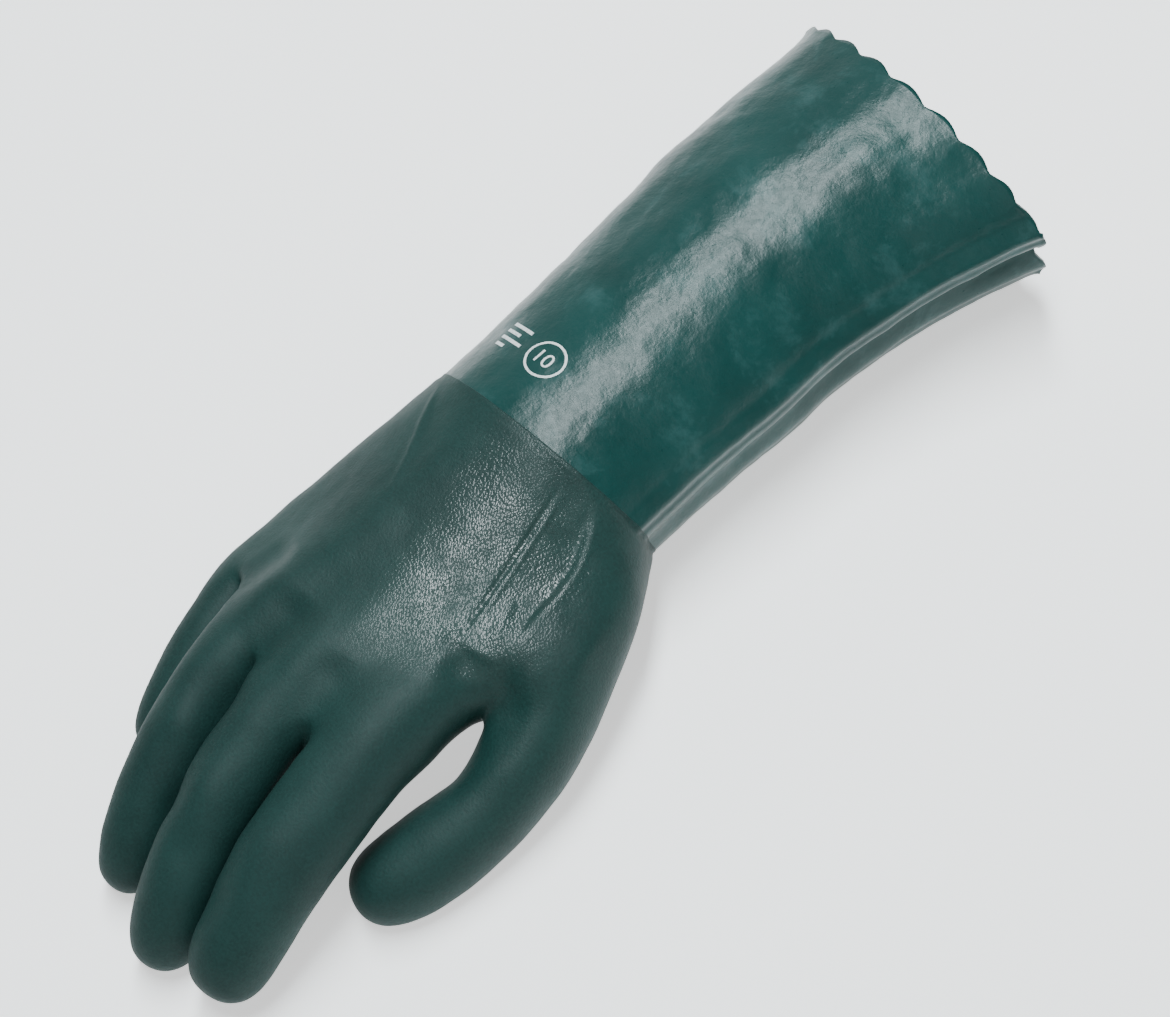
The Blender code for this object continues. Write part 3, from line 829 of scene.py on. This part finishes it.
def numberFaces(points, faces):
    words = bpy.data.curves.new("size_number", "FONT")
    words.body = sizePrint["number"]
    words.size = sizePrint["numberHeight"]
    item = newItem("size_number", words)
    mesh = meshOf(item)
    bpy.data.objects.remove(item)
    shape = bmesh.new()
    shape.from_mesh(mesh)
    bmesh.ops.remove_doubles(shape, verts=shape.verts, dist=mergeGap)
    bmesh.ops.triangulate(shape, faces=shape.faces)
    shape.verts.ensure_lookup_table()
    first = len(points)
    right, up = sizePrint["numberShift"]
    points.extend((corner.co.x + right, corner.co.y + up) for corner in shape.verts)
    for face in shape.faces:
        corners = [first + corner.index for corner in face.verts]
        faces.append(corners if face.normal.z > 0 else corners[::-1])
    shape.free()


def sectionAt(along):
    places, flares, asides = zip(*cuffSections)
    return [along, float(np.interp(along, places, flares)),
            float(np.interp(along, places, asides))]


def onCuff(tree, across, up):
    # lays a point of the flat print on the cuff's surface
    along = sizePrint["along"] + up / cuff["length"]
    section = sectionAt(along)
    radius = (cuff["wristWidth"] + cuff["wristHeight"]) / 4
    point = cuffPoint(section, sizePrint["angle"] - math.degrees(across / radius))
    centre = cuffCentre(along, section[2])
    point = onSection(point, centre, along)
    out = Vector((point.x - centre.x, 0, point.z - centre.z)).normalized()
    spot, normal, _, _ = tree.ray_cast(point + out * sizePrint["reach"], -out)
    return spot + normal * sizePrint["lift"]


def makePrint(cuffItem, material):
    points, faces = [], []
    ringFaces(points, faces)
    numberFaces(points, faces)
    for bar in sizePrint["bars"]:
        barFaces(points, faces, bar)
    tree = surfaceTree(cuffItem)
    item = meshObject("size_print", [onCuff(tree, *point) for point in points], faces)
    item.data.materials.append(material)
    wall = item.modifiers.new("ink", "SOLIDIFY")
    wall.thickness = sizePrint["thickness"]
    wall.offset = -1.0
    return applied(item)


# Materials

def newMaterial(name):
    material = bpy.data.materials.new(name)
    material.use_nodes = True
    tree = material.node_tree
    shader = tree.nodes["Principled BSDF"]
    place = tree.nodes.new("ShaderNodeTexCoord").outputs["Object"]
    return material, tree, shader, place


def noiseOf(tree, place, scale, detail=2.0, rough=0.5, distortion=0.0):
    return Value(tree, node(tree, "ShaderNodeTexNoise", {
        "Vector": place, "Scale": scale, "Detail": detail, "Roughness": rough,
        "Distortion": distortion,
    }).outputs[0])


def rampOf(tree, value, stops):
    ramp = node(tree, "ShaderNodeValToRGB", {0: value})
    elements = ramp.color_ramp.elements
    while len(elements) < len(stops):
        elements.new(0.5)
    for element, (spot, colour) in zip(elements, stops):
        element.position = spot
        element.color = (*colour, 1.0)
    return ramp.outputs[0]


def blendOf(tree, value, look):
    # from the deep to the light colour as the value passes the two stops
    return rampOf(tree, value, list(zip(look["stops"], (look["deep"], look["light"]))))


def bumpOf(tree, layers):
    # layers: height value, distance in metres
    normal = None
    for height, distance in layers:
        links = {"Height": height, "Distance": distance, "Strength": 1.0}
        if normal is not None:
            links["Normal"] = normal
        normal = node(tree, "ShaderNodeBump", links).outputs[0]
    return normal


def fadeOf(value, stretch):
    # 1 before the stretch begins to 0 where it ends
    begin, finish = stretch
    return ((value - finish) / (begin - finish)).clamped()


smoothCoat = {
    "deep": (0.0036, 0.0330, 0.0300), "light": (0.0060, 0.0450, 0.0410), "patchScale": 30,
    "stops": (0.32, 0.68), "specular": 0.26,
    # between these two roughnesses the gloss runs in small streaks
    "roughness": (0.25, 0.43), "streakScale": 494, "streakGain": 1.2, "streakMiddle": 0.4,
    "grainScale": 1000, "grain": 0.00004, "mottleScale": 380, "mottle": 0.00014,
    # painted sheen: pale patches painted into the colour that stand in for faint reflections beside
    # the gloss band; where their noise passes a level, with its gain and the most that shows
    "paintedSheen": (0.0300, 0.0840, 0.0820), "paintedSheenScale": 62,
    "paintedSheenLevel": 0.54, "paintedSheenGain": 3.2, "paintedSheenMost": 0.6,
}
roughCoat = {
    "deep": (0.0042, 0.0232, 0.0206), "light": (0.0072, 0.0340, 0.0300), "patchScale": 26,
    "stops": (0.32, 0.68), "roughness": (0.50, 0.60), "specular": 0.24,
    "grainScale": 1250, "grain": 0.00011, "speckDepth": 0.75,
    # the sand on the back shines grain by grain, more in some patches than in others
    "sandScale": 1250, "sand": 0.00016, "sandGrain": 0.3, "sandShine": 0.70, "sandRoughness": 0.18,
    "sandPatches": 130, "patchGain": 2.4, "patchLevel": 0.55,
    # the field of shining sand runs beside the long crease: where it fades on its two sides,
    # towards the fingers and towards the wrist, with what is left there
    "fieldSlant": 0.236, "thumbSide": (0.025, 0.038), "outerSide": (-0.008, -0.018),
    "endSlant": 0.5, "fingerEnd": (-0.050, -0.078), "wristEnd": (-0.012, 0.002), "wristRest": 0.25,
    # towards the fingers the coat turns dull: where that begins and ends, and the roughness added
    "dull": (-0.062, -0.100), "dullRoughness": 0.12,
}
ink = {
    "deep": (0.34, 0.42, 0.42), "light": (0.66, 0.70, 0.70), "stops": (0.30, 0.48), "scale": 1400,
    "bump": 0.00002, "roughness": 0.55,
}
liner = {
    "deep": (0.42, 0.40, 0.34), "light": (0.60, 0.57, 0.49), "stops": (0.3, 0.7), "scale": 90,
    "wales": 60.0, "waver": 0.6, "bump": 0.0003, "roughness": 0.95,
}
# The white ground gives off some light, which clears the shadows as in the photo. It lies a little
# lower than the glove and reaches this far each way.
ground = {
    "deep": (0.90, 0.90, 0.90), "light": (0.93, 0.93, 0.93), "stops": (0.0, 1.0), "scale": 3.0,
    "roughness": 0.9, "glow": 0.85, "drop": 0.0002, "half": 6,
}


def makeSmoothCoat():
    material, tree, shader, place = newMaterial("smooth_coat")
    patches = noiseOf(tree, place, smoothCoat["patchScale"], detail=3.0, rough=0.6)
    # pale patches of painted sheen in the base colour, standing in for faint reflections on the
    # cuff
    paintedSheen = noiseOf(tree, place, smoothCoat["paintedSheenScale"], detail=5.0, rough=0.7, distortion=0.3)
    paintedSheenShare = (paintedSheen - smoothCoat["paintedSheenLevel"]) * smoothCoat["paintedSheenGain"]
    withPaintedSheen = node(tree, "ShaderNodeMix", {
        "Factor": paintedSheenShare.clamped(0, smoothCoat["paintedSheenMost"]),
        "A": blendOf(tree, patches, smoothCoat), "B": (*smoothCoat["paintedSheen"], 1.0),
    }, data_type="RGBA")
    streaks = noiseOf(tree, place, smoothCoat["streakScale"], detail=3.0, rough=0.6)
    gloss = (streaks - 0.5) * smoothCoat["streakGain"] + smoothCoat["streakMiddle"]
    grain = noiseOf(tree, place, smoothCoat["grainScale"], detail=1.0)
    mottle = noiseOf(tree, place, smoothCoat["mottleScale"], detail=3.0, rough=0.6)
    feed(tree, shader, {
        "Base Color": withPaintedSheen.outputs["Result"], "Specular IOR Level": smoothCoat["specular"],
        "Roughness": mix(*smoothCoat["roughness"], gloss.clamped()),
        "Normal": bumpOf(tree, [(mottle, smoothCoat["mottle"]), (grain, smoothCoat["grain"])]),
    })
    return material


def makeRoughCoat():
    material, tree, shader, place = newMaterial("rough_coat")
    grain = noiseOf(tree, place, roughCoat["grainScale"], detail=1.5, rough=0.6)
    patches = noiseOf(tree, place, roughCoat["patchScale"], detail=3.0, rough=0.6)
    tone = patches + (grain - 0.5) * roughCoat["speckDepth"]
    x, y, _ = partsOf(tree, place)
    dull = (fadeOf(y, roughCoat["dull"]) - 1) * -roughCoat["dullRoughness"]
    fineGrain = noiseOf(tree, place, roughCoat["grainScale"] / 2, detail=1.0)
    low, high = roughCoat["roughness"]
    aside = x + y * roughCoat["fieldSlant"]
    field = fadeOf(aside, roughCoat["thumbSide"]) * fadeOf(aside, roughCoat["outerSide"])
    field = field * fadeOf(y - x * roughCoat["endSlant"], roughCoat["fingerEnd"])
    field = field * mix(roughCoat["wristRest"], 1, fadeOf(y, roughCoat["wristEnd"]))
    patchy = noiseOf(tree, place, roughCoat["sandPatches"], detail=2.0)
    patchy = (patchy * roughCoat["patchGain"] - roughCoat["patchLevel"]).clamped()
    cells = node(tree, "ShaderNodeTexVoronoi", {
        "Vector": place, "Scale": roughCoat["sandScale"]}, feature="F1")
    cell = Value(tree, cells.outputs["Distance"])
    sand = grain * roughCoat["sandGrain"] - cell * cell
    feed(tree, shader, {
        "Base Color": blendOf(tree, tone, roughCoat), "Specular IOR Level": roughCoat["specular"],
        "Roughness": fineGrain * (high - low) + dull + low,
        "Normal": bumpOf(tree, [(grain, roughCoat["grain"])]),
        "Coat Weight": patchy * field * roughCoat["sandShine"],
        "Coat Roughness": roughCoat["sandRoughness"],
        "Coat Normal": bumpOf(tree, [(sand, roughCoat["sand"])]),
    })
    return material


def makeInk():
    material, tree, shader, place = newMaterial("white_ink")
    worn = noiseOf(tree, place, ink["scale"], detail=2.0, rough=0.6)
    feed(tree, shader, {"Base Color": blendOf(tree, worn, ink), "Roughness": ink["roughness"],
                        "Normal": bumpOf(tree, [(worn, ink["bump"])])})
    return material


def makeLiner():
    material, tree, shader, place = newMaterial("knitted_liner")
    uv = tree.nodes.new("ShaderNodeTexCoord").outputs["UV"]
    wales = node(tree, "ShaderNodeTexWave", {
        "Vector": uv, "Scale": liner["wales"], "Distortion": liner["waver"],
    }, wave_type="BANDS", bands_direction="X")
    tone = noiseOf(tree, place, liner["scale"], detail=3.0)
    feed(tree, shader, {"Base Color": blendOf(tree, tone, liner), "Roughness": liner["roughness"],
                        "Normal": bumpOf(tree, [(wales.outputs[0], liner["bump"])])})
    return material


def makeFloorPaint():
    material, tree, shader, place = newMaterial("floor_paint")
    tone = noiseOf(tree, place, ground["scale"], detail=2.0)
    feed(tree, shader, {
        "Base Color": blendOf(tree, tone, ground), "Roughness": ground["roughness"],
        "Emission Color": (1.0, 1.0, 1.0, 1.0), "Emission Strength": ground["glow"],
    })
    return material


# Build

def addWall(item, thickness, inner):
    # thickens a skin inwards; its inner side is lined
    item.data.materials.append(inner)
    wall = item.modifiers.new("wall", "SOLIDIFY")
    wall.thickness = thickness
    wall.offset = -1.0
    wall.use_even_offset = False
    wall.material_offset = 1
    wall.material_offset_rim = 0
    return applied(item)


def toFrame(items):
    # moves the shapes, the cuff first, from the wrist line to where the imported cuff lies
    low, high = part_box("gauntlet_cuff")
    own = readPoints(items[0].data)
    move = np.array([(low[axis] + high[axis]) / 2 - (own[:, axis].min() + own[:, axis].max()) / 2
                     for axis in (0, 1)] + [0.0])
    for item in items:
        writePoints(item.data, readPoints(item.data) + move)
    return Vector(move)


smoothMaterial, roughMaterial, linerMaterial = makeSmoothCoat(), makeRoughCoat(), makeLiner()
tree, inputs = cuffTree(smoothMaterial)
cuffPiece = runTree(meshObject("cuff_coat", [], []), tree, inputs)
addWall(cuffPiece, cuff["wall"], linerMaterial)
cuffPiece.data.shade_smooth()
print("cuff made", len(cuffPiece.data.polygons), "faces")

handPiece = makeHand()
layOnCuff(handPiece, cuffPiece)
tree, inputs = rollTree(roughMaterial)
rollPiece = meshObject("coat_edge", [], [])
rollPiece.data = handPiece.data.copy()
runTree(rollPiece, tree, inputs)
rollPiece.data.shade_smooth()
printPiece = makePrint(cuffPiece, makeInk())
print("edge and print made", len(rollPiece.data.polygons), len(printPiece.data.polygons), "faces")
handPiece.data.materials.append(roughMaterial)
addWall(handPiece, hand["wall"], linerMaterial)
handPiece.data.shade_smooth()
print("hand made", len(handPiece.data.polygons), "faces")

shift = toFrame([cuffPiece, handPiece, rollPiece, printPiece])
print("shift", [round(value, 5) for value in shift])

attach(cuffPiece, "root")
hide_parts("gauntlet_cuff")
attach(handPiece, "root")
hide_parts("hand_body", *[digit["name"] for digit in digits])
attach(rollPiece, "root")
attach(printPiece, "root")


# Floor, lights and camera

def makeFloor():
    half = ground["half"]
    corners = [(-half, -half, 0), (half, -half, 0), (half, half, 0), (-half, half, 0)]
    floor = meshObject("floor", corners, [(0, 1, 2, 3)])
    floor.location.z = -ground["drop"]
    floor.data.materials.append(makeFloorPaint())


def makeLight(name, place, aim, size, power, colour=(1, 1, 1)):
    light = bpy.data.lights.new(name, "AREA")
    light.shape = "RECTANGLE"
    light.size, light.size_y = size
    light.energy = power
    light.color = colour
    item = newItem(name, light)
    place, aim = Vector(place), Vector(aim)
    item.location = place
    item.rotation_mode = "QUATERNION"
    item.rotation_quaternion = (aim - place).to_track_quat("-Z", "Y")


def makeCamera():
    azimuth, elevation = math.radians(camera["azimuth"]), math.radians(camera["elevation"])
    level = math.cos(elevation)
    back = Vector((math.sin(azimuth) * level, -math.cos(azimuth) * level, math.sin(elevation)))
    up = (Vector((0, 0, 1)) - back * back.z).normalized()
    right = up.cross(back)
    # turned about the line of sight until the glove's +Y lies at the hand's angle; up.y and right.y
    # say how it lies before that
    twist = math.radians(camera["handAngle"]) - math.atan2(up.y, right.y)
    cosine, sine = math.cos(twist), math.sin(twist)
    right, up = right * cosine - up * sine, up * cosine + right * sine
    place = Vector(camera["target"]) + shift + back * camera["distance"]
    data = bpy.data.cameras.new("camera")
    data.lens, data.sensor_width = camera["lens"], camera["sensor"]
    data.clip_start, data.clip_end = 0.01, 50
    item = newItem("camera", data)
    rows = [(right[axis], up[axis], back[axis], place[axis]) for axis in range(3)]
    item.matrix_world = Matrix(rows + [(0, 0, 0, 1)])
    bpy.context.scene.camera = item


def makeWorld():
    # pale walls round the table and a dim ceiling
    world = bpy.data.worlds.new("studio")
    world.use_nodes = True
    tree = world.node_tree
    background = tree.nodes["Background"]
    direction = tree.nodes.new("ShaderNodeTexCoord").outputs["Generated"]
    up = partsOf(tree, direction)[2]
    tree.links.new(rampOf(tree, up, studio["sky"]), background.inputs["Color"])
    bpy.context.scene.world = world


studio = {
    # height of the direction and colour
    "sky": [
        (0.00, (0.36, 0.36, 0.36)), (0.22, (0.30, 0.30, 0.30)), (0.50, (0.12, 0.12, 0.12)),
    ],
    # name, place, aim, size, watts and, where it isn't white, colour
    "lights": [
        ("overhead", (-0.13, 0.19, 1.2), (0, 0.05, 0.03), (0.24, 1.10), 28, (0.88, 0.97, 1.0)),
        ("outer_side", (-1.9, 0.4, 0.9), (0, 0, 0), (2.4, 1.4), 7),
        ("thumb_side", (1.7, 1.1, 0.35), (0, 0, 0), (1.2, 0.5), 1.6),
        ("thumb_soft", (1.3, -0.5, 1.3), (0, 0, 0), (1.6, 1.6), 7.5),
    ],
}

makeFloor()
for light in studio["lights"]:
    makeLight(*light)
makeCamera()
makeWorld()
print("stage made")
